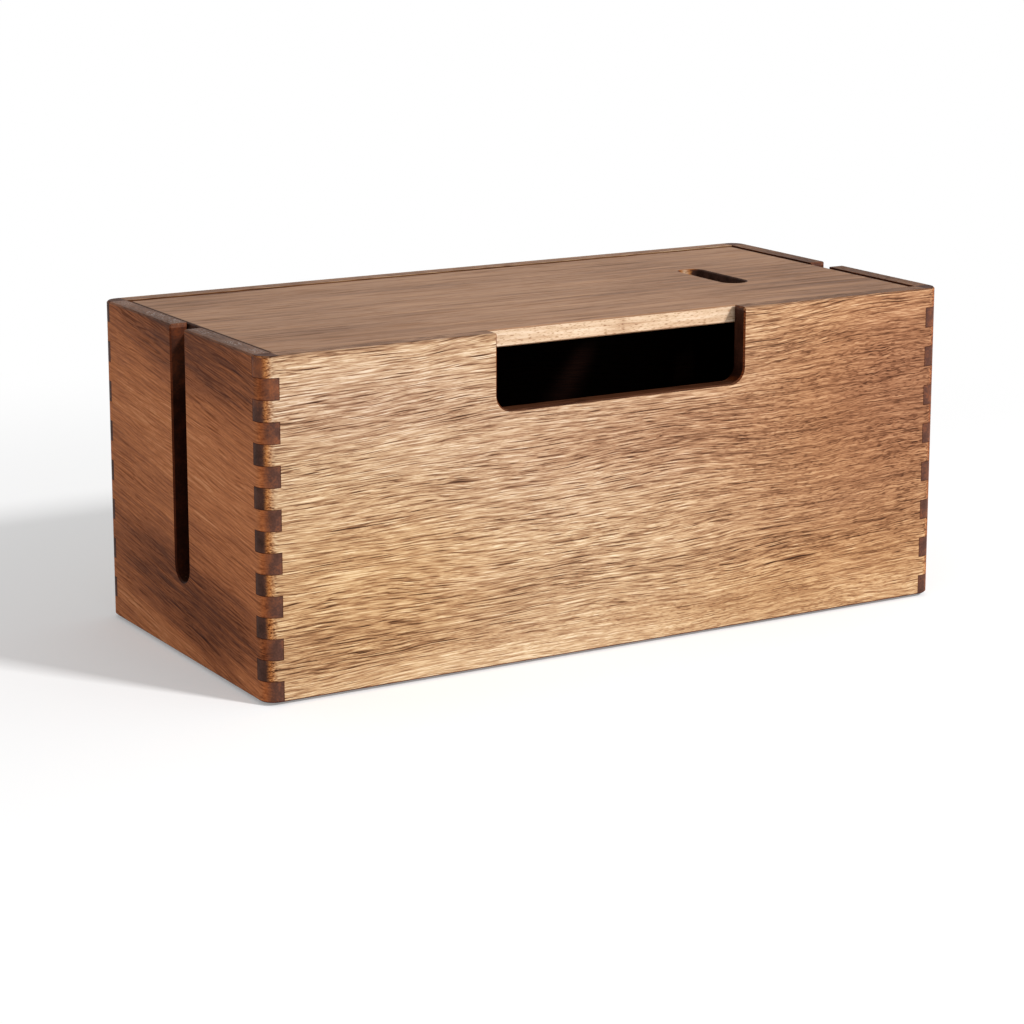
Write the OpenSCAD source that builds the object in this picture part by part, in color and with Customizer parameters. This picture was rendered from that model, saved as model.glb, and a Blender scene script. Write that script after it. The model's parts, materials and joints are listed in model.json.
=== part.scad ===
// Cable management box: four finger-jointed boards round a base, with a lid that drops in between them.
// Millimetres. X runs along the length, the notched front faces -Y, and the feet stand on Z = 0.

/* [Case] */
// Length over the end panels
box_w = 400; // [320:1:500]
// Depth over the front and back panels
box_d = 190; // [150:1:240]
// Height of the panels
box_h = 168; // [150:1:220]
// Thickness of the four wall boards
wall_t = 9.5; // [8:0.5:13]
// Radius of the upright outer corners
corner_r = 8; // [4:0.5:10]
// Bevel that eases the outer edges and the cut-outs
edge_bevel = 0.8; // [0.3:0.1:1.5]

/* [Finger joints] */
// Divisions of the height, shared in turn by the two boards of a corner
finger_count = 16; // [8:2:24]

/* [Front notch] */
// Width of the notch
notch_w = 146; // [80:0.5:200]
// Depth of the notch below the rim
notch_h = 39; // [25:0.5:60]
// Radius of the notch's lower corners
notch_r = 8; // [2:0.5:10]

/* [End slots] */
// Width of the cable slot in each end panel
slot_w = 16.5; // [10:0.5:24]
// Depth of the slots below the rim
slot_h = 129.5; // [60:0.5:135]

/* [Lid] */
// Thickness of the lid
lid_t = 9; // [6:0.5:12]
// Play between the lid's edge and the walls
lid_gap = 1.6; // [0.6:0.1:2]
// Depth of the lid's top below the rim
lid_drop = 0.5; // [0:0.1:2]
// Radius of the lid's upright corners
lid_corner_r = 2.5; // [1:0.5:6]
// Bevel round the lid's faces and its finger hole
lid_bevel = 0.6; // [0.3:0.1:1.5]
// Length of the finger hole, across the depth of the box
grip_l = 54; // [35:0.5:80]
// Width of the finger hole
grip_w = 15; // [12:0.5:24]
// Centre of the finger hole to the outer face of the right end panel
grip_inset = 82; // [50:1:150]

/* [Lid rests] */
// Leg of the three-cornered blocks that carry the lid
rest_leg = 16; // [10:0.5:24]
// Height of these blocks
rest_h = 22; // [12:1:40]

/* [Base] */
// Thickness of the base board
base_t = 6; // [4:0.5:9]
// Depth of the rebate that the base sits in
rebate = 5; // [3:0.5:6]
// Play round the base in its rebate
base_gap = 0.2; // [0.1:0.1:0.5]

/* [Feet] */
// Diameter of the foot pads
foot_d = 16; // [10:0.5:24]
// Thickness of the foot pads
foot_t = 1.5; // [1:0.1:4]
// Centre of each pad to the outer faces next to it
foot_inset = 24; // [20:1:40]

/* [Hidden] */
$fn = 64;

// Overshoot of a cut past the face that it starts from
over = 1;

// Heights above the ground
rim_z = foot_t + box_h;
lid_z = rim_z - lid_drop - lid_t;

// Height of one finger, and the board that owns the topmost one takes every second from there
finger_h = box_h / finger_count;
first_long = 0;
first_end = 1;

// Clear size between the walls
inner_w = box_w - 2 * wall_t;
inner_d = box_d - 2 * wall_t;

front_tone = [0.80, 0.60, 0.40];
end_tone = [0.50, 0.29, 0.18];
lid_tone = [0.52, 0.38, 0.29];
base_tone = [0.70, 0.55, 0.40];
rest_tone = [0.62, 0.44, 0.30];
foot_tone = [0.20, 0.17, 0.15];

// ---- Outlines and bevels ----

module rounded_rect(w, d, r) {
    square([w, d - 2 * r], center = true);
    if (w > 2 * r)
        square([w - 2 * r, d], center = true);
    for (x = [-1, 1], y = [-1, 1])
        translate([x * (w / 2 - r), y * (d / 2 - r)])
            circle(r);
}

// Section of a bevel's waste: the edge is at the origin and the open side is up and to the right
module bevel_section(size) {
    polygon([[-size - over, over], [over, -size - over], [over, over]]);
}

// The same section for a solid outline or, mirrored, for the outline of a hole
module bevel_side(size, hole) {
    if (hole)
        mirror([1, 0])
            bevel_section(size);
    else
        bevel_section(size);
}

// Waste of a bevel round the top edge of a rounded rectangle that ends at Z = 0
module bevel_loop(w, d, r, size, hole = false) {
    for (side = [0:3]) {
        across = side % 2 == 0 ? w : d;
        along = side % 2 == 0 ? d : w;
        run = along - 2 * r;
        rotate(90 * side) {
            if (run > 0)
                translate([across / 2, run / 2, 0])
                    rotate([90, 0, 0])
                        linear_extrude(run)
                            bevel_side(size, hole);
            translate([across / 2 - r, run / 2, 0])
                rotate_extrude(angle = 90)
                    translate([r, 0])
                        bevel_side(size, hole);
        }
    }
}

// Hole right through a board whose faces are Z = 0 and Z = -t, eased on both faces
module eased_hole(w, d, r, t, size) {
    translate([0, 0, -t - over])
        linear_extrude(t + 2 * over)
            rounded_rect(w, d, r);
    bevel_loop(w, d, r, size, hole = true);
    translate([0, 0, -t])
        mirror([0, 0, 1])
            bevel_loop(w, d, r, size, hole = true);
}

// Cut in a wall board that starts at Y = 0 and is open at the rim, at Y = depth
module open_cut(w, depth, r) {
    reach = depth + r + edge_bevel + 2 * over;
    translate([0, reach / 2, 0])
        eased_hole(w, reach, r, wall_t, edge_bevel);
    for (side = [0, 1])
        mirror([side, 0, 0])
            translate([-w / 2, depth, -wall_t - over])
                linear_extrude(wall_t + 2 * over)
                    bevel_section(edge_bevel);
}

// ---- Cuts that the wall boards share ----

// Outer form of the case: upright corners rounded, upper and lower edges eased
module case_form() {
    difference() {
        translate([0, 0, foot_t])
            linear_extrude(box_h)
                rounded_rect(box_w, box_d, corner_r);
        translate([0, 0, rim_z])
            bevel_loop(box_w, box_d, corner_r, edge_bevel);
        translate([0, 0, foot_t])
            mirror([0, 0, 1])
                bevel_loop(box_w, box_d, corner_r, edge_bevel);
    }
}

// The corner squares at every second division of the height: the other board's fingers fill them.
// They reach past the board by past_x and past_y on the side of the cavity.
module finger_waste(first, past_x, past_y) {
    for (i = [first:2:finger_count - 1]) {
        low = rim_z - (i + 1) * finger_h - (i == finger_count - 1 ? over : 0);
        high = rim_z - i * finger_h + (i == 0 ? over : 0);
        for (x = [0, 1], y = [0, 1])
            mirror([x, 0, 0])
                mirror([0, y, 0])
                    translate([inner_w / 2 - past_x, inner_d / 2 - past_y, low])
                        cube([wall_t + over + past_x, wall_t + over + past_y, high - low]);
    }
}

// Room for the base in the lower inner edges of the walls
module base_rebate() {
    translate([0, 0, foot_t + (base_t - over) / 2])
        cube([inner_w + 2 * rebate, inner_d + 2 * rebate, base_t + over], center = true);
}

// Front or back board as a blank, standing at its side of the case
module long_board(side) {
    difference() {
        intersection() {
            case_form();
            translate([0, side * (box_d - wall_t) / 2, rim_z / 2])
                cube([box_w + 2 * over, wall_t, rim_z + 2 * over], center = true);
        }
        finger_waste(first_end, 0, over);
        base_rebate();
    }
}

// End board with its cable slot, standing at its side of the case
module end_board(side) {
    difference() {
        intersection() {
            case_form();
            translate([side * (box_w - wall_t) / 2, 0, rim_z / 2])
                cube([wall_t, box_d + 2 * over, rim_z + 2 * over], center = true);
        }
        finger_waste(first_long, over, 0);
        base_rebate();
        translate([side * box_w / 2, 0, rim_z - slot_h])
            rotate([90, 0, side * 90])
                open_cut(slot_w, slot_h, slot_w / 2);
    }
}

// ---- Pieces ----

module front_panel() {
    color(front_tone)
        difference() {
            long_board(-1);
            translate([0, -box_d / 2, rim_z - notch_h])
                rotate([90, 0, 0])
                    open_cut(notch_w, notch_h, notch_r);
        }
}

module back_panel() {
    color(front_tone)
        long_board(1);
}

module end_panel(side) {
    color(end_tone)
        end_board(side);
}

module base_panel() {
    color(base_tone)
        translate([0, 0, foot_t + base_t / 2])
            cube([inner_w + 2 * (rebate - base_gap), inner_d + 2 * (rebate - base_gap), base_t], center = true);
}

module lid_panel() {
    w = inner_w - 2 * lid_gap;
    d = inner_d - 2 * lid_gap;
    color(lid_tone)
        translate([0, 0, lid_z + lid_t])
            difference() {
                translate([0, 0, -lid_t])
                    linear_extrude(lid_t)
                        rounded_rect(w, d, lid_corner_r);
                bevel_loop(w, d, lid_corner_r, lid_bevel);
                translate([0, 0, -lid_t])
                    mirror([0, 0, 1])
                        bevel_loop(w, d, lid_corner_r, lid_bevel);
                translate([box_w / 2 - grip_inset, 0, 0])
                    eased_hole(grip_w, grip_l, grip_w / 2, lid_t, lid_bevel);
            }
}

// Block glued into an upright inner corner: its top carries the lid
module lid_rest(side_x, side_y) {
    color(rest_tone)
        translate([side_x * inner_w / 2, side_y * inner_d / 2, lid_z - rest_h])
            linear_extrude(rest_h)
                polygon([[0, 0], [-side_x * rest_leg, 0], [0, -side_y * rest_leg]]);
}

module foot(side_x, side_y) {
    color(foot_tone)
        translate([side_x * (box_w / 2 - foot_inset), side_y * (box_d / 2 - foot_inset), 0])
            cylinder(h = foot_t, d = foot_d);
}

front_panel();
back_panel();
end_panel(-1);  // left_end_panel
end_panel(1);  // right_end_panel
base_panel();
lid_panel();
lid_rest(-1, -1);  // lid_rest_front_left
lid_rest(1, -1);  // lid_rest_front_right
lid_rest(-1, 1);  // lid_rest_back_left
lid_rest(1, 1);  // lid_rest_back_right
foot(-1, -1);  // foot_front_left
foot(1, -1);  // foot_front_right
foot(-1, 1);  // foot_back_left
foot(1, 1);  // foot_back_right
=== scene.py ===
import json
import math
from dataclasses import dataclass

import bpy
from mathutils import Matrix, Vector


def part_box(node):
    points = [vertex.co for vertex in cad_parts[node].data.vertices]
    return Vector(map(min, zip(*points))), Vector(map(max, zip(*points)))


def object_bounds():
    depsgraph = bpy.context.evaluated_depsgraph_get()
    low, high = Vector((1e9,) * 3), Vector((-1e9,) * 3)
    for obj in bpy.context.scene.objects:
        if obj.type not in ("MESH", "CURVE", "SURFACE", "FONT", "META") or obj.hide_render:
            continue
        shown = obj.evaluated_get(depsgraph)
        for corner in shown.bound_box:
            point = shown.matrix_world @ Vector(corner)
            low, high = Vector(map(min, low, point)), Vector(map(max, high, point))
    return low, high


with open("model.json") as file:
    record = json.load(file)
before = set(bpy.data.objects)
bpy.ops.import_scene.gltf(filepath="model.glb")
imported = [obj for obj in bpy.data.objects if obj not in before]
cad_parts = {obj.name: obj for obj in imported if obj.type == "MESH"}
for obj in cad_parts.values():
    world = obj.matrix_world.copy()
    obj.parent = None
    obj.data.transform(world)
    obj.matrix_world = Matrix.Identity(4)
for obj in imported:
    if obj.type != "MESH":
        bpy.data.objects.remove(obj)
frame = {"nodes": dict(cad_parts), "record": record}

# Cable management box: the wood of its boards, the floor, the light and the camera.
# Lengths are metres in the studio, and millimetres in the materials, whose patterns are fine.
# Where a value is a pair, a change starts at its first number and is full at its second, and only
# a bump's pair is its strength and its depth in metres.

cad_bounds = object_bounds()

# ---- Sizes of the box that the wood needs, in millimetres ----

MM = 1000.0
X, Y, Z = range(3)
LOW, HIGH = cad_bounds
HALF_LENGTH = HIGH[X] * MM
HALF_DEPTH = HIGH[Y] * MM
RIM_Z = HIGH[Z] * MM
FOOT_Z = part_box("front_panel")[0][Z] * MM
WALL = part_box("front_panel")[1][Y] * MM + HALF_DEPTH

# The two boards of a corner own the fingers in turn. The frame doesn't give their number or the
# play round the lid, so both are the same as in part.scad.
FINGER_COUNT = 16
FINGER = (RIM_Z - FOOT_Z) / FINGER_COUNT
LID_PLAY = 1.6
LID_END = HALF_LENGTH - WALL - LID_PLAY


# ---- A short way to write node trees ----

class Wire:
    """An output socket. Arithmetic on it adds Math nodes to its tree."""

    def __init__(self, tree, socket):
        self.tree = tree
        self.socket = socket

    def math(self, operation, *values):
        node = self.tree.nodes.new("ShaderNodeMath")
        node.operation = operation
        for slot, value in zip(node.inputs, (self,) + values):
            plug(self.tree, slot, value)
        return Wire(self.tree, node.outputs[0])

    def __add__(self, other):
        return self.math("ADD", other)

    def __radd__(self, other):
        return self.math("ADD", other)

    def __sub__(self, other):
        return self.math("SUBTRACT", other)

    def __rsub__(self, other):
        return self.math("MULTIPLY", -1.0).math("ADD", other)

    def __mul__(self, other):
        return self.math("MULTIPLY", other)

    def __truediv__(self, other):
        return self.math("DIVIDE", other)

    def size(self):
        return self.math("ABSOLUTE")

    def above(self, other):
        return self.math("GREATER_THAN", other)

    def below(self, other):
        return self.math("LESS_THAN", other)


def plug(tree, slot, value):
    """Links a wire to an input, or writes a plain value on it."""
    if isinstance(value, Wire):
        tree.links.new(value.socket, slot)
    else:
        slot.default_value = value


def rgba(colour):
    return (*colour, 1.0)


class Graph:
    """A node tree that is being written."""

    def __init__(self, tree):
        self.tree = tree
        tree.nodes.clear()

    def node(self, kind, inputs=None, **settings):
        node = self.tree.nodes.new("ShaderNode" + kind)
        for name, value in settings.items():
            setattr(node, name, value)
        for name, value in (inputs or {}).items():
            plug(self.tree, node.inputs[name], value)
        return node

    def wire(self, node, output=0):
        return Wire(self.tree, node.outputs[output])

    def show(self, shader, output="OutputMaterial"):
        """Links a shader node to the output of the tree."""
        self.tree.links.new(shader.outputs[0], self.node(output).inputs["Surface"])

    def split(self, vector):
        node = self.node("SeparateXYZ", {0: vector})
        return [self.wire(node, i) for i in range(3)]

    def join(self, x, y, z):
        return self.wire(self.node("CombineXYZ", {0: x, 1: y, 2: z}))

    def place_in_mm(self, coords):
        """Where the shaded point lies in the space of the box."""
        return [axis * MM for axis in self.split(self.wire(coords, "Object"))]

    def in_spots(self, place, size):
        """The place for a noise whose spots have about this size."""
        return self.join(*(axis / size for axis in place))

    def smooth(self, value, start, end, low=0.0, high=1.0):
        """Goes smoothly from low to high while the value goes from start to end."""
        inputs = {"Value": value, "From Min": start, "From Max": end, "To Min": low, "To Max": high}
        return self.wire(self.node("MapRange", inputs, interpolation_type="SMOOTHSTEP"))

    def noise(self, vector, detail):
        """Noise between 0 and 1."""
        inputs = {"Vector": vector, "Scale": 1.0, "Detail": detail}
        return self.wire(self.node("TexNoise", inputs), "Fac")

    def swing(self, vector, detail=1.0):
        """Noise round 0 that seldom leaves -1 to 1."""
        return (self.noise(vector, detail) - 0.5) * 4.0

    def mix(self, factor, first, second, blend="MIX"):
        inputs = {0: factor, 6: first, 7: second}
        return self.wire(self.node("Mix", inputs, data_type="RGBA", blend_type=blend), 2)

    def tint(self, amount, colour, factor):
        """Multiplies the colour by the factor where the amount is 1."""
        return self.mix(amount, colour, rgba(factor), "MULTIPLY")

    def ramp(self, value, stops):
        node = self.node("ValToRGB", {0: value})
        elements = node.color_ramp.elements
        while len(elements) < len(stops):
            elements.new(0.5)
        for element, (place, colour) in zip(elements, stops):
            element.position = place
            element.color = rgba(colour)
        return self.wire(node)

    def show_matt(self, colour, roughness, gloss, height, bump):
        """Ends the tree of a matt material. The bump is its strength and its depth in metres."""
        strength, depth = bump
        relief = self.node("Bump", {"Strength": strength, "Distance": depth, "Height": height})
        self.show(self.node("BsdfPrincipled", {
            "Base Color": colour,
            "Roughness": roughness,
            "Specular IOR Level": gloss,
            "Normal": self.wire(relief),
        }))


def new_material(name):
    """A material, and the graph of its empty node tree."""
    material = bpy.data.materials.new(name)
    material.use_nodes = True
    return material, Graph(material.node_tree)


# ---- Colours of the wood ----

# From the darkest to the palest fibres of each kind of wood
GOLDEN = (
    (0.00, (0.055, 0.024, 0.013)),
    (0.20, (0.170, 0.082, 0.042)),
    (0.42, (0.365, 0.200, 0.105)),
    (0.62, (0.540, 0.340, 0.190)),
    (0.82, (0.700, 0.500, 0.305)),
    (1.00, (0.850, 0.680, 0.470)),
)
REDDISH = (
    (0.00, (0.045, 0.012, 0.006)),
    (0.25, (0.148, 0.044, 0.017)),
    (0.50, (0.335, 0.109, 0.041)),
    (0.75, (0.555, 0.200, 0.076)),
    (1.00, (0.760, 0.360, 0.170)),
)
UMBER = (
    (0.00, (0.060, 0.024, 0.012)),
    (0.30, (0.165, 0.080, 0.042)),
    (0.55, (0.285, 0.152, 0.084)),
    (0.80, (0.400, 0.232, 0.138)),
    (1.00, (0.520, 0.330, 0.210)),
)
# The left end's rim: its wood greyed by a painted sheen, the reflection of the bright backdrop
RIM_SHEEN_GREY = (
    (0.00, (0.055, 0.026, 0.016)),
    (0.45, (0.175, 0.092, 0.060)),
    (0.75, (0.270, 0.150, 0.098)),
    (1.00, (0.420, 0.290, 0.220)),
)
END_GRAIN = (
    (0.00, (0.040, 0.018, 0.012)),
    (0.50, (0.102, 0.045, 0.032)),
    (1.00, (0.300, 0.098, 0.040)),
)
# Pale specks on the left end's rim: painted glints
RIM_GLINT = (0.46, 0.41, 0.37)

# What a zone or a kind of face does to the colour: each is multiplied in.
RED_ZONE = (0.90, 0.72, 0.62)
MAUVE_ZONE = (0.86, 0.84, 0.97)
GOLD_ZONE = (0.97, 0.90, 0.78)
EDGE_TINT = (0.97, 0.97, 1.06)
# Painted shade of the gap round the lid's ends
LID_END_PAINTED_SHADE = (0.35, 0.28, 0.25)
GOLDEN_SCORCH = (0.84, 0.50, 0.26)
REDDISH_SCORCH = (1.0, 0.85, 0.70)
UMBER_SCORCH = (0.72, 0.42, 0.20)
CUT_FACE = (0.58, 0.44, 0.36)
# Painted shade that darkens the cuts deeper below the rim
DEEP_CUT_PAINTED_SHADE = (0.45, 0.38, 0.35)
GLUE_LINE = (0.30, 0.20, 0.17)
# Painted shade of the gap behind the rim
GAP_PAINTED_SHADE = (0.26, 0.19, 0.16)
# Painted shade of the inside of the box
INSIDE_PAINTED_SHADE = (0.070, 0.043, 0.034)
# Painted shade on faces that look down
UNDERSIDE_PAINTED_SHADE = (0.35, 0.20, 0.15)


# ---- Zones of a board: soft ovals of another tone, tint or grain ----

# Each has its centre along and across the grain, its half length and half width, and its strength.
FRONT_TONES = (
    (-150, 160, 80, 14, 0.08),
    (-60, 2, 140, 15, 0.14),
    (165, 8, 60, 12, 0.10),
    (-150, 27, 90, 14, -0.12),
    (20, 41, 170, 8, -0.10),
    (180, 104, 150, 110, -0.21),
    (20, 109, 80, 20, -0.08),
)
FRONT_TINTS = (
    (RED_ZONE, ((185, 112, 160, 104, 1.0), (10, 109, 80, 26, 0.25))),
    (MAUVE_ZONE, ((-150, 150, 90, 30, 0.6), (-20, 115, 130, 50, 0.5), (185, 118, 60, 50, 0.6))),
    (GOLD_ZONE, ((-150, 46, 90, 54, 1.0), (130, 20, 130, 34, 0.9))),
)
FRONT_CURLS = (
    (150, 110, 100, 65, 1.0),
    (60, 8, 170, 22, 0.8),
    (170, 50, 70, 36, 0.5),
)
BACK_TONES = (
    (-170, 80, 120, 110, -0.16),
    (60, 20, 150, 20, 0.12),
    (90, 140, 120, 18, -0.08),
)
BACK_TINTS = (
    (RED_ZONE, ((-150, 90, 200, 130, 0.9), (110, 90, 160, 120, 0.45))),
    (GOLD_ZONE, ((120, 60, 120, 60, 0.8),)),
)
BACK_CURLS = ((-130, 100, 90, 60, 0.8),)
END_TONES = (
    (-10, 166, 120, 26, -0.30),
    (0, 108, 120, 34, 0.14),
    (-15, 34, 120, 26, -0.31),
    (-85, 22, 40, 14, 0.16),
    (20, 4, 110, 10, 0.16),
)
# The lid's tones, darker at its ends and paler in the middle, also paint the falloff of its sheen.
LID_SHEEN_TONES = (
    (-160, 70, 60, 30, -0.12),
    (-150, -55, 60, 30, -0.12),
    (-10, 10, 90, 60, 0.04),
    (110, 0, 70, 80, -0.09),
    (170, -40, 60, 60, -0.15),
)

# Shares of a zone's half size: it starts at the first, and has its full strength inside the second.
ZONE_START = 1.3
ZONE_FULL = 0.2


def zones(graph, along, across, places):
    """The strength of all the zones together at the shaded point."""
    total = 0.0
    for centre_u, centre_v, half_u, half_v, strength in places:
        du = (along - centre_u) / half_u
        dv = (across - centre_v) / half_v
        spread = (du * du + dv * dv).math("SQRT")
        total = graph.smooth(spread, ZONE_START, ZONE_FULL, 0.0, strength) + total
    return total


# ---- Kinds of board ----

@dataclass
class Board:
    """How one kind of board is cut and coloured."""
    # The axes along the grain, across it and through the board
    grain: int
    across: int
    through: int
    # Where in the noise its pattern starts
    seed: float
    # Its colours, and the place of its plain wood in them
    colours: tuple
    level: float = 0.66
    # How steeply the fibres climb and how much they wander, and the scale across and along them
    rise: float = 0.0
    wave: float = 1.0
    width: float = 1.0
    length: float = 1.0
    # How far each feature moves the place in the colours
    figure: float = 0.06
    streaks: float = 0.10
    strands: float = 0.03
    fibres: float = 0.12
    pores: float = 0.40
    row_lines: float = 0.10
    # Distance between the rows of pores
    row_pitch: float = 1.5
    # Its zones, and how mauve its clouds are
    tones: tuple = ()
    tints: tuple = ()
    curls: tuple = ()
    mauve: float = 0.0
    # How far a face turns to the end before it is end grain, how gradually, and how pale that is
    end_from: float = 0.5
    end_soft: float = 0.10
    end_level: float = 0.5
    scorch: tuple = UMBER_SCORCH
    # How much paler the end grain is at the tops of the left corners
    worn: float = 0.0
    # The rim of a wall: its colours, how much darker it is, and whether its left end has a painted grey
    # sheen and painted glints
    rim_colours: tuple = UMBER
    rim_level: float = 0.0
    painted_rim_sheen: bool = False
    # Whether it has the lid's pale front and back edges
    pale_edge: bool = False
    # Whether it has the cuts, joints and inner faces of a wall
    wall: bool = False
    # Specular level of its oil
    gloss: float = 0.06


BOARDS = {
    "front_board": Board(
        X, Z, Y, 3.0, GOLDEN, level=0.645, rise=0.02, wave=0.75, width=0.8,
        figure=0.05, strands=0.14, fibres=0.24, pores=0.36, row_lines=0.11, row_pitch=2.2,
        tones=FRONT_TONES, tints=FRONT_TINTS, curls=FRONT_CURLS, mauve=0.15,
        end_from=0.72, end_level=0.3, scorch=GOLDEN_SCORCH, worn=0.5, rim_level=-0.20, wall=True,
    ),
    "back_board": Board(
        X, Z, Y, 41.0, GOLDEN, rise=-0.03, wave=0.7, length=1.5,
        strands=0.14, fibres=0.18, pores=0.36, row_lines=0.08,
        tones=BACK_TONES, tints=BACK_TINTS, curls=BACK_CURLS, mauve=0.1,
        end_from=0.72, end_level=0.3, scorch=GOLDEN_SCORCH, rim_level=-0.20, wall=True,
    ),
    "end_board": Board(
        Y, Z, X, 77.0, REDDISH, level=0.61, rise=0.13, wave=0.4, width=1.2,
        figure=0.05, streaks=0.08, strands=0.08, fibres=0.08, pores=0.15, row_lines=0.05,
        tones=END_TONES, end_from=0.70, end_soft=0.25, scorch=REDDISH_SCORCH, worn=0.12,
        rim_colours=RIM_SHEEN_GREY, rim_level=-0.08, painted_rim_sheen=True, wall=True, gloss=0.04,
    ),
    "lid_board": Board(
        X, Y, Z, 19.0, UMBER, level=0.63, wave=0.2, width=2.6, length=2.0,
        figure=0.07, streaks=0.14, strands=0.06, fibres=0.08, pores=0.14, row_lines=0.02,
        tones=LID_SHEEN_TONES, end_level=0.12, pale_edge=True,
    ),
    "base_board": Board(X, Y, Z, 55.0, UMBER, pores=0.15),
    "rest_block": Board(Z, X, Y, 91.0, REDDISH, level=0.5, pores=0.15),
}


# ---- Grain ----

@dataclass
class Bend:
    """A way in which the fibres wander: how long and wide a bend is, and how far it shifts them."""
    length: float
    width: float
    reach: float


@dataclass
class Streak:
    """Noise drawn out along the fibres: its length and width, and where in the noise it starts."""
    length: float
    width: float
    start: float
    detail: float = 0.0


# A slow drift and a ripple bend the fibres across the board, and curls shake them.
DRIFT = Bend(160.0, 70.0, 5.0)
RIPPLE = Bend(42.0, 22.0, 0.7)
SHAKE = Bend(9.0, 7.0, 0.5)
# The share of a bend that goes through the board
THROUGH_SHARE = 0.4

# Broad bands, streaks in them, long thin strands and short fine fibres
FIGURE = Streak(130.0, 9.0, 0.0, 2.0)
STREAKS = Streak(38.0, 2.2, 11.0, 1.0)
STRANDS = Streak(45.0, 0.8, 29.0)
FIBRES = Streak(10.0, 0.44, 23.0)

# Rows of pores drift and waver, by these shares of the distance between them.
ROW_DRIFT = Streak(40.0, 6.0, 31.0)
ROW_DRIFT_SHARE = 0.8
ROW_WAVER = Streak(14.0, 2.2, 35.0)
ROW_WAVER_SHARE = 0.22
# Dashes lie where a row and their noise are strong together, and short flecks lie anywhere.
DASHES = Streak(20.0, 1.1, 37.0)
DASH_CHANCE = 0.50
DASH_EDGE = (0.70, 1.08)
FLECKS = Streak(3.2, 0.75, 53.0)
FLECK_EDGE = (0.0, 0.60)
FLECK_STRENGTH = 0.35
# What a curl takes from the fibres and from the dashes, and what it adds to the flecks
CURL_CALM = 0.40
CURL_DASHES = 0.75
CURL_FLECKS = 0.30
# Patches in which the pores are crowded, and the strength of the pores between them
CROWD_LENGTH = 55.0
CROWD_WIDTH = 14.0
CROWD_EDGE = (-0.6, 0.5)
SPARSE_PORES = 0.6

# Oiled wood: its roughness, and what strands, pores and streaks add to it
WOOD_ROUGH = 0.52
STRAND_ROUGH = 0.03
PORE_ROUGH = 0.12
STREAK_ROUGH = 0.02
# Its relief: how high fibres and streaks stand and how deep pores lie, as shares of the bump,
# and the bump's strength and its depth in metres
FIBRE_HEIGHT = 0.10
STREAK_HEIGHT = 0.08
PORE_DEPTH = 0.5
WOOD_BUMP = (0.35, 0.0002)


class Pattern:
    """The grain of a board: where the shaded point lies, and how strong each feature is there."""

    def __init__(self, graph, board):
        self.graph = graph
        self.board = board
        coords = graph.node("TexCoord")
        self.place = graph.place_in_mm(coords)
        self.normal = graph.split(graph.wire(coords, "Normal"))
        self.along = self.place[board.grain]
        self.across = self.place[board.across]
        self.through = self.place[board.through]
        self.curly = zones(graph, self.along, self.across, board.curls)
        self.calm = 1.0 - self.curly * CURL_CALM

        shift = self.shift()
        self.fibre_v = self.across - self.along * board.rise + shift
        self.fibre_w = self.through + shift * THROUGH_SHARE
        self.figure = self.streak(FIGURE)
        self.streaks = self.streak(STREAKS, board.width)
        self.strands = self.streak(STRANDS, board.width)
        self.fibres = self.streak(FIBRES, board.width) * self.calm

        crest = self.row_crest()
        self.row_lines = (crest - 0.5) * self.calm
        self.pores = self.open_pores(crest)
        self.level = self.place_in_colours()

    def bend(self, kind, start_u=0.0, start_v=0.0):
        u = self.along / kind.length + start_u
        v = self.across / kind.width + start_v
        return self.graph.swing(self.graph.join(u, v, self.through / kind.width))

    def shift(self):
        """How far the bends move the fibres across the board."""
        board = self.board
        drift = self.bend(DRIFT, start_u=board.seed)
        ripple = self.bend(RIPPLE, start_v=board.seed)
        shift = drift * (DRIFT.reach * board.wave) + ripple * (RIPPLE.reach * board.wave)
        if board.curls:
            shift = shift + self.bend(SHAKE) * self.curly * SHAKE.reach
        return shift

    def streak(self, kind, scale=1.0):
        u = self.along / (kind.length * self.board.length) + (self.board.seed + kind.start)
        width = kind.width * scale
        place = self.graph.join(u, self.fibre_v / width, self.fibre_w / width)
        return self.graph.swing(place, kind.detail)

    def row_crest(self):
        """1 in the middle of a row of pores, and 0 halfway between two rows."""
        board = self.board
        rows = self.fibre_v / (board.row_pitch * board.width) + self.streak(ROW_DRIFT) * ROW_DRIFT_SHARE
        rows = rows + self.streak(ROW_WAVER) * ROW_WAVER_SHARE
        return 1.0 - rows.math("PINGPONG", 0.5) * 2.0

    def open_pores(self, crest):
        """Open pores: thin dark dashes in rows along the fibres, and short flecks between them."""
        graph, width = self.graph, self.board.width
        dashes = graph.smooth(crest + self.streak(DASHES, width) * DASH_CHANCE, *DASH_EDGE)
        dashes = dashes * (1.0 - self.curly * CURL_DASHES)
        flecks = graph.smooth(self.streak(FLECKS, width), *FLECK_EDGE)
        flecks = flecks * (self.curly * CURL_FLECKS + FLECK_STRENGTH)
        patch = graph.join(self.along / CROWD_LENGTH, self.fibre_v / CROWD_WIDTH, self.board.seed)
        crowd = graph.smooth(graph.swing(patch), *CROWD_EDGE, SPARSE_PORES, 1.0)
        return dashes.math("MAXIMUM", flecks) * crowd

    def place_in_colours(self):
        """Where the wood lies between the darkest and the palest of the board's colours."""
        board = self.board
        level = board.level + self.figure * board.figure + self.streaks * board.streaks
        level = level + self.strands * self.calm * board.strands + self.fibres * board.fibres
        level = level + zones(self.graph, self.along, self.fibre_v, board.tones)
        return level - self.pores * board.pores - self.row_lines * board.row_lines

    def roughness(self):
        rough = WOOD_ROUGH + self.strands * STRAND_ROUGH + self.pores * PORE_ROUGH
        return rough + self.streaks * STREAK_ROUGH

    def height(self):
        return self.fibres * FIBRE_HEIGHT - self.pores * PORE_DEPTH + self.streaks * STREAK_HEIGHT


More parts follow.
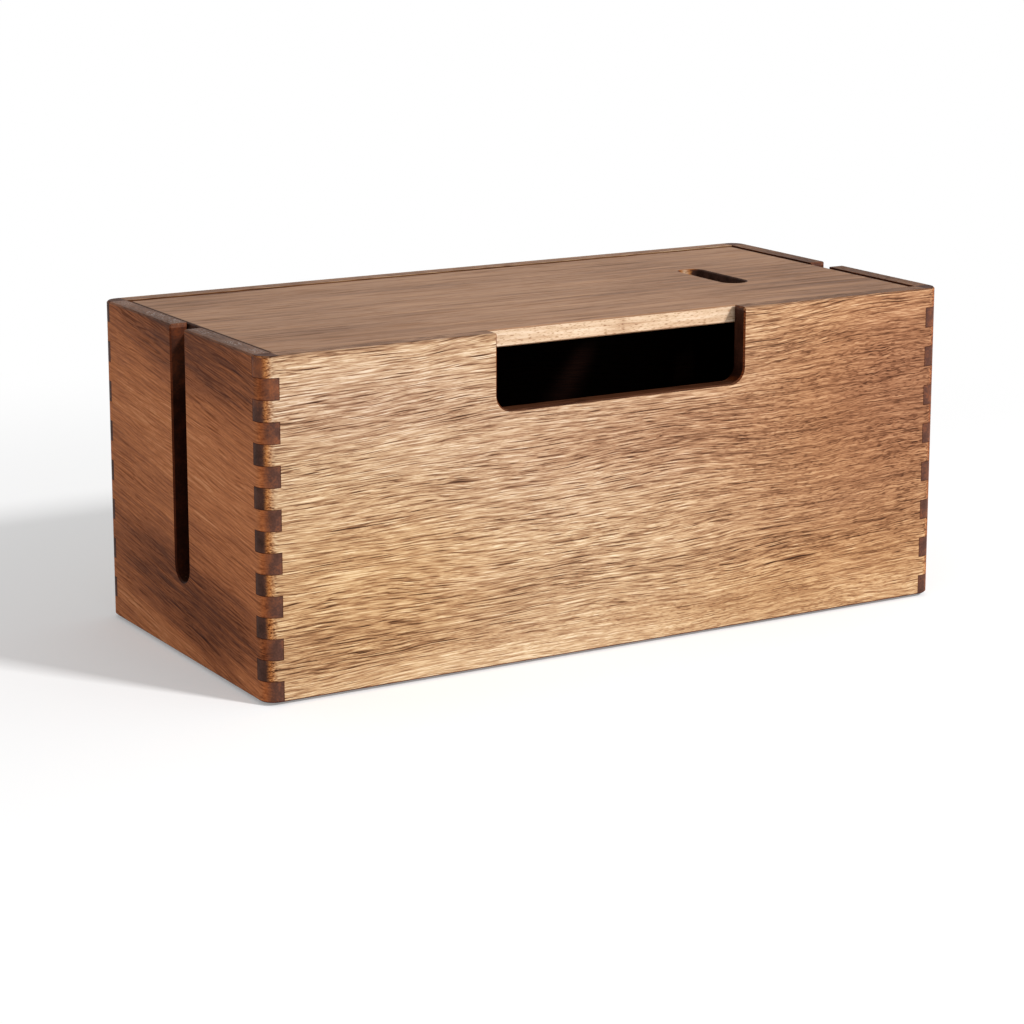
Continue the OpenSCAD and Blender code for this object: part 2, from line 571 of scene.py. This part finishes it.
# ---- Zones, edges, rims and end grain ----

# Mauve clouds: their size, and where in the noise they start
MAUVE_LENGTH = 60.0
MAUVE_WIDTH = 15.0
MAUVE_START = 5.0

# A face of the lid is an edge when it is this square to the front. Its wood is paler, with dark specks.
EDGE_TURN = (0.72, 0.92)
EDGE_LIFT = 0.22
EDGE_STREAKS = 0.08
EDGE_SPECKS = 0.34
SPECK_LENGTH = 2.6
SPECK_WIDTH = 0.5
SPECK_EDGE = (0.1, 0.9)
# Distances to the lid's ends at which the painted shade of the gap starts and is full
LID_END_FADE = (1.6, 0.5)

# A face is a rim when it looks this far up. The oil fills some of its pores.
RIM_TURN = (0.4, 0.9)
RIM_FILL = 0.7
# How much darker the right end's rim is
RIGHT_RIM_LEVEL = -0.10
# Painted glints on the left end's rim: their size, and how strong the noise is in them
GLINT_SIZE = 0.9
GLINT_EDGE = (0.25, 0.8)
# They lie in clusters along a line inside the outer face, and reach so far from that line.
GLINT_LINE = HALF_LENGTH - WALL * 0.6
GLINT_REACH = (4.0, 1.5)
CLUSTER_LENGTH = 24.0
CLUSTER_EDGE = (-0.5, 0.4)

# Scorched wood starts and is full so far before the end grain. Fibres and streaks fray both.
SCORCH_START = 0.55
SCORCH_FULL = 0.05
FIBRE_FRAY = 0.05
STREAK_FRAY = 0.03
# Dots and clouds in the end grain: their sizes and strengths
DOT_SIZE = 1.1
DOTS = 0.12
CLOUD_SIZE = 6.0
CLOUDS = 0.20
# Depths below the rim at which the wear of the corners starts and is full
WORN_DEPTH = (40.0, 8.0)


def tint_zones(pattern, colour):
    """Reddish, golden and mauve parts of the board, and mauve clouds."""
    graph, board = pattern.graph, pattern.board
    for factor, places in board.tints:
        colour = graph.tint(zones(graph, pattern.along, pattern.fibre_v, places), colour, factor)
    if board.mauve:
        u = pattern.along / MAUVE_LENGTH
        v = pattern.fibre_v / MAUVE_WIDTH
        cloud = graph.swing(graph.join(u, v, board.seed + MAUVE_START))
        colour = graph.tint(graph.smooth(cloud, 0.0, 1.0, 0.0, board.mauve), colour, MAUVE_ZONE)
    return colour


def lid_edges(pattern, colour):
    """The lid's front and back edges are pale and flecked, and its ends get a painted shade of the gap.
    """
    graph, along = pattern.graph, pattern.along
    edge = graph.smooth(pattern.normal[pattern.board.across].size(), *EDGE_TURN)
    speck_place = graph.join(along / SPECK_LENGTH, pattern.across, pattern.through / SPECK_WIDTH)
    specks = graph.smooth(graph.swing(speck_place), *SPECK_EDGE)
    level = pattern.level + EDGE_LIFT - pattern.streaks * EDGE_STREAKS - specks * EDGE_SPECKS
    pale = graph.tint(1.0, graph.ramp(level, GOLDEN), EDGE_TINT)
    colour = graph.mix(edge, colour, pale)
    # Painted shade of the gap along the lid's ends
    painted_end_shade = graph.smooth(along.size(), *(LID_END - distance for distance in LID_END_FADE))
    return graph.tint(painted_end_shade, colour, LID_END_PAINTED_SHADE)


def painted_rim_glints(pattern):
    """Painted glints: pale specks in clusters along the middle of the left end's rim."""
    graph, through = pattern.graph, pattern.through
    specks = graph.smooth(graph.swing(graph.in_spots(pattern.place, GLINT_SIZE)), *GLINT_EDGE)
    near_line = graph.smooth((through.size() - GLINT_LINE).size(), *GLINT_REACH)
    cluster = graph.swing(graph.join(pattern.along / CLUSTER_LENGTH, pattern.board.seed, 0.0))
    return specks * near_line * graph.smooth(cluster, *CLUSTER_EDGE) * through.below(0.0)


def rim(pattern, colour):
    """The rim of a wall: brown, but on the left end grey with a painted sheen and painted glints."""
    graph, board = pattern.graph, pattern.board
    top = graph.smooth(pattern.normal[Z], *RIM_TURN)
    level = pattern.level + pattern.pores * (board.pores * RIM_FILL) + board.rim_level
    finish = graph.ramp(level, board.rim_colours)
    # The grey of the left end's rim is a painted sheen; the right end's rim stays brown.
    if board.painted_rim_sheen:
        right_finish = graph.ramp(level + RIGHT_RIM_LEVEL, UMBER)
        finish = graph.mix(pattern.through.above(0.0), finish, right_finish)
    colour = graph.mix(top, colour, finish)
    # Painted glints on the left end's rim
    if board.painted_rim_sheen:
        colour = graph.mix(painted_rim_glints(pattern) * top, colour, rgba(RIM_GLINT))
    return colour


def end_grain(pattern, colour):
    """End grain drinks the oil: scorched where the fibres start to turn away, dark where they end."""
    graph, board, place = pattern.graph, pattern.board, pattern.place
    turned = pattern.normal[board.grain].size()
    turned = turned + pattern.fibres * FIBRE_FRAY + pattern.streaks * STREAK_FRAY
    scorched = graph.smooth(turned, board.end_from - SCORCH_START, board.end_from - SCORCH_FULL)
    ends = graph.smooth(turned, board.end_from - board.end_soft, board.end_from + board.end_soft)
    dots = graph.swing(graph.in_spots(place, DOT_SIZE))
    clouds = graph.swing(graph.in_spots(place, CLOUD_SIZE))
    upper = graph.smooth(place[Z], *(RIM_Z - depth for depth in WORN_DEPTH))
    worn = upper * place[X].below(0.0) * board.worn
    level = dots * DOTS + clouds * CLOUDS + worn + board.end_level
    colour = graph.tint(scorched, colour, board.scorch)
    return graph.mix(ends, colour, graph.ramp(level, END_GRAIN))


# ---- Faces that only the walls have ----

# Depths below the rim: where the painted shade of a cut starts and is full
DEEP_CUT_DEPTH = (22.0, 40.0)
# Where the painted shade of the gap behind the rim starts, and where the painted shade of the inside
# starts
GAP_SHADE_DEPTH = 0.1
INSIDE_SHADE_DEPTH = 3.0
# Each of these two is full at so many times its depth.
FULL_DEPTH = 2.5
# How far past the inner faces of the walls still counts as inside
INNER_SLACK = 0.3
# A face gets painted shade as an underside when it looks this far down.
UNDERSIDE_TURN = (-0.3, -0.6)
# A face is a cut when it turns this far from the board's own face, away from edges and corners.
CUT_TURN = (0.97, 0.78)
CUT_MARGIN = 2.0
CORNER_REACH = WALL * 1.2
# Half the width of a glue line, and the shares of it between which the line fades
GLUE_WIDTH = 0.16
GLUE_FADE = (1.6, 0.6)


def glue_lines(graph, place):
    """Thin dark lines round the fingers, inside the squares where two boards cross."""
    x, y, z = place
    past_x = x.size() - (HALF_LENGTH - WALL)
    past_y = y.size() - (HALF_DEPTH - WALL)
    crossing = past_x.above(-GLUE_WIDTH) * past_y.above(-GLUE_WIDTH)
    count = (RIM_Z - z) / FINGER
    to_flank = count.math("PINGPONG", 0.5) * FINGER
    odd = (count * 0.5).math("FRACT").above(0.5)
    to_root = past_x.size() * odd + past_y.size() * (1.0 - odd)
    nearest = to_flank.math("MINIMUM", to_root)
    return graph.smooth(nearest, *(GLUE_WIDTH * share for share in GLUE_FADE)) * crossing


def inner_face(graph, place, depth):
    """1 on the faces that look into the box, from a depth below the rim."""
    x, y, z = place
    between_ends = x.size().below(HALF_LENGTH - WALL + INNER_SLACK)
    between_sides = y.size().below(HALF_DEPTH - WALL + INNER_SLACK)
    return between_ends * between_sides * graph.smooth(z, RIM_Z - depth, RIM_Z - depth * FULL_DEPTH)


def cut_face(graph, place, square_to_board):
    """1 on the cut faces of the notch and the slots: across the board, off its edges and corners."""
    x, y, z = place
    off_edges = z.below(RIM_Z - CUT_MARGIN) * z.above(FOOT_Z + CUT_MARGIN)
    off_ends = x.size().below(HALF_LENGTH - CORNER_REACH)
    off_corners = off_ends.math("MAXIMUM", y.size().below(HALF_DEPTH - CORNER_REACH))
    return graph.smooth(square_to_board.size(), *CUT_TURN) * off_edges * off_corners


def wall_faces(pattern, colour):
    """Cut faces with painted shade deeper down, glue lines, and painted shade on the inner faces and
    the underside of a wall.
    """
    graph, place, normal = pattern.graph, pattern.place, pattern.normal
    cut = cut_face(graph, place, normal[pattern.board.through])
    deep = graph.smooth(place[Z], *(RIM_Z - depth for depth in DEEP_CUT_DEPTH))
    colour = graph.tint(cut, colour, CUT_FACE)
    # Painted shade, deeper down the cuts
    colour = graph.tint(cut * deep, colour, DEEP_CUT_PAINTED_SHADE)
    colour = graph.tint(glue_lines(graph, place), colour, GLUE_LINE)
    # Painted shade of the gap just below the rim
    colour = graph.tint(inner_face(graph, place, GAP_SHADE_DEPTH), colour, GAP_PAINTED_SHADE)
    # Painted shade of the inside
    colour = graph.tint(inner_face(graph, place, INSIDE_SHADE_DEPTH), colour, INSIDE_PAINTED_SHADE)
    # Painted shade on faces that look down
    return graph.tint(graph.smooth(normal[Z], *UNDERSIDE_TURN), colour, UNDERSIDE_PAINTED_SHADE)


# ---- Materials ----

# Rubber: its colours, the sizes of its moulded grain and of its clouds, and its surface
RUBBER_COLOURS = (
    (0.3, (0.030, 0.026, 0.024)),
    (0.7, (0.060, 0.052, 0.047)),
)
RUBBER_GRAIN = 0.4
RUBBER_CLOUD = 5.0
RUBBER_DETAIL = 2.0
RUBBER_ROUGH = 0.70
RUBBER_GRAIN_ROUGH = 0.2
RUBBER_GLOSS = 0.3
RUBBER_BUMP = (0.4, 0.0001)


def wood(name, board):
    """Oiled wood: one solid pattern in the space of the box, on which all faces of a board agree."""
    material, graph = new_material(name)
    pattern = Pattern(graph, board)
    colour = tint_zones(pattern, graph.ramp(pattern.level, board.colours))
    if board.pale_edge:
        colour = lid_edges(pattern, colour)
    if board.rim_level:
        colour = rim(pattern, colour)
    colour = end_grain(pattern, colour)
    if board.wall:
        colour = wall_faces(pattern, colour)
    graph.show_matt(colour, pattern.roughness(), board.gloss, pattern.height(), WOOD_BUMP)
    return material


def rubber(name):
    """Matt dark rubber with a fine moulded grain."""
    material, graph = new_material(name)
    place = graph.place_in_mm(graph.node("TexCoord"))
    grain = graph.noise(graph.in_spots(place, RUBBER_GRAIN), RUBBER_DETAIL)
    cloud = graph.noise(graph.in_spots(place, RUBBER_CLOUD), RUBBER_DETAIL)
    roughness = RUBBER_ROUGH + (grain - 0.5) * RUBBER_GRAIN_ROUGH
    graph.show_matt(graph.ramp(cloud, RUBBER_COLOURS), roughness, RUBBER_GLOSS, grain, RUBBER_BUMP)
    return material


def dress_nodes():
    """Gives each node of the frame the material of its slot."""
    materials = {slot: wood(slot, board) for slot, board in BOARDS.items()}
    materials["foot_pad"] = rubber("foot_pad")
    for part in frame["record"]["subparts"]:
        piece = frame["nodes"][part["node"]]
        piece.data.materials.clear()
        piece.data.materials.append(materials[part["material_slot"]])


# ---- Studio, in metres and degrees ----

WHITE = (1.0, 1.0, 1.0, 1.0)
WORLD_LEVEL = 0.50

# The floor lies just under the feet. Where it is seen it is a little brighter than it is lit,
# and between two distances from the middle of the box it fades to white.
FLOOR_SIZE = 6.0
FLOOR_Z = -0.0001
FLOOR_COLOUR = (0.80, 0.80, 0.80, 1.0)
FLOOR_LIFT = 0.24
FLOOR_FADE = (0.30, 0.75)

# The soft light stands in front of the box. Turn is from -Y towards +X, and rise from level.
KEY_LEVEL = 0.86
KEY_DISTANCE = 2.6
KEY_SIZE = 0.30
KEY_TURN = 27.0
KEY_RISE = 35.0

# The camera was fitted to the corners of the box in the photograph. It looks along +Y with a turn
# towards +X, and tilts down.
CAMERA_PLACE = (-0.7604, -1.2778, 0.4159)
CAMERA_TURN = 30.46
CAMERA_TILT = -11.74
CAMERA_LENS_MM = 100.72
CAMERA_SENSOR_MM = 36.0
CAMERA_SHIFT = -0.1
CAMERA_FAR_END = 50.0


def seen_ray(graph):
    """1 for the rays that show the background: straight from the camera, off gloss or through glass."""
    path = graph.node("LightPath")
    kinds = ("Is Camera Ray", "Is Glossy Ray", "Is Transmission Ray")
    camera, gloss, glass = (graph.wire(path, kind) for kind in kinds)
    return camera.math("MAXIMUM", gloss).math("MAXIMUM", glass)


def add_world():
    """White to look at, with a plain even light on the object."""
    world = bpy.data.worlds.new("studio")
    world.use_nodes = True
    bpy.context.scene.world = world
    graph = Graph(world.node_tree)
    level = seen_ray(graph) * (1.0 - WORLD_LEVEL) + WORLD_LEVEL
    graph.show(graph.node("Background", {"Color": WHITE, "Strength": level}), "OutputWorld")


def floor_material():
    """Pale and matt near the box, and white far from it."""
    material, graph = new_material("floor")
    x, y, _ = graph.split(graph.wire(graph.node("TexCoord"), "Object"))
    distance = (x * x + y * y).math("SQRT")
    fade = graph.smooth(distance, *FLOOR_FADE) * seen_ray(graph)
    lift = seen_ray(graph) * FLOOR_LIFT
    matt = graph.wire(graph.node("BsdfDiffuse", {"Color": FLOOR_COLOUR}))
    glow = graph.wire(graph.node("Emission", {"Color": WHITE, "Strength": lift}))
    lit = graph.wire(graph.node("AddShader", {0: matt, 1: glow}))
    white = graph.wire(graph.node("Emission", {"Color": WHITE, "Strength": 1.0}))
    graph.show(graph.node("MixShader", {0: fade, 1: lit, 2: white}))
    return material


def add_floor():
    """A pale floor that keeps the shadow and fades to the white of the background."""
    half = FLOOR_SIZE / 2
    square = ((-half, -half), (half, -half), (half, half), (-half, half))
    mesh = bpy.data.meshes.new("floor")
    mesh.from_pydata([(x, y, FLOOR_Z) for x, y in square], [], [(0, 1, 2, 3)])
    mesh.materials.append(floor_material())
    floor = bpy.data.objects.new("floor", mesh)
    bpy.context.collection.objects.link(floor)


def add_softbox(name, level, turn, rise, distance, size):
    """A square area light that looks at the box. Level is what it adds to a white face square to it."""
    light = bpy.data.lights.new(name, "AREA")
    light.shape = "SQUARE"
    light.size = size
    light.energy = level * (math.pi * distance) ** 2
    lamp = bpy.data.objects.new(name, light)
    turn, rise = math.radians(turn), math.radians(rise)
    flat = distance * math.cos(rise)
    lamp_z = (LOW[Z] + HIGH[Z]) / 2 + distance * math.sin(rise)
    lamp.location = (flat * math.sin(turn), -flat * math.cos(turn), lamp_z)
    lamp.rotation_euler = (math.pi / 2 - rise, 0.0, turn)
    bpy.context.collection.objects.link(lamp)


def add_camera():
    """A camera at the photograph's viewing angle."""
    camera = bpy.data.cameras.new("camera")
    camera.sensor_width = CAMERA_SENSOR_MM
    camera.lens = CAMERA_LENS_MM
    camera.shift_y = CAMERA_SHIFT
    camera.clip_end = CAMERA_FAR_END
    holder = bpy.data.objects.new("camera", camera)
    holder.location = CAMERA_PLACE
    turn, tilt = math.radians(CAMERA_TURN), math.radians(CAMERA_TILT)
    holder.rotation_euler = (math.pi / 2 + tilt, 0.0, -turn)
    bpy.context.collection.objects.link(holder)
    bpy.context.scene.camera = holder


dress_nodes()
add_world()
add_floor()
add_softbox("key", KEY_LEVEL, KEY_TURN, KEY_RISE, KEY_DISTANCE, KEY_SIZE)
add_camera()
bpy.context.scene.view_settings.view_transform = "Standard"
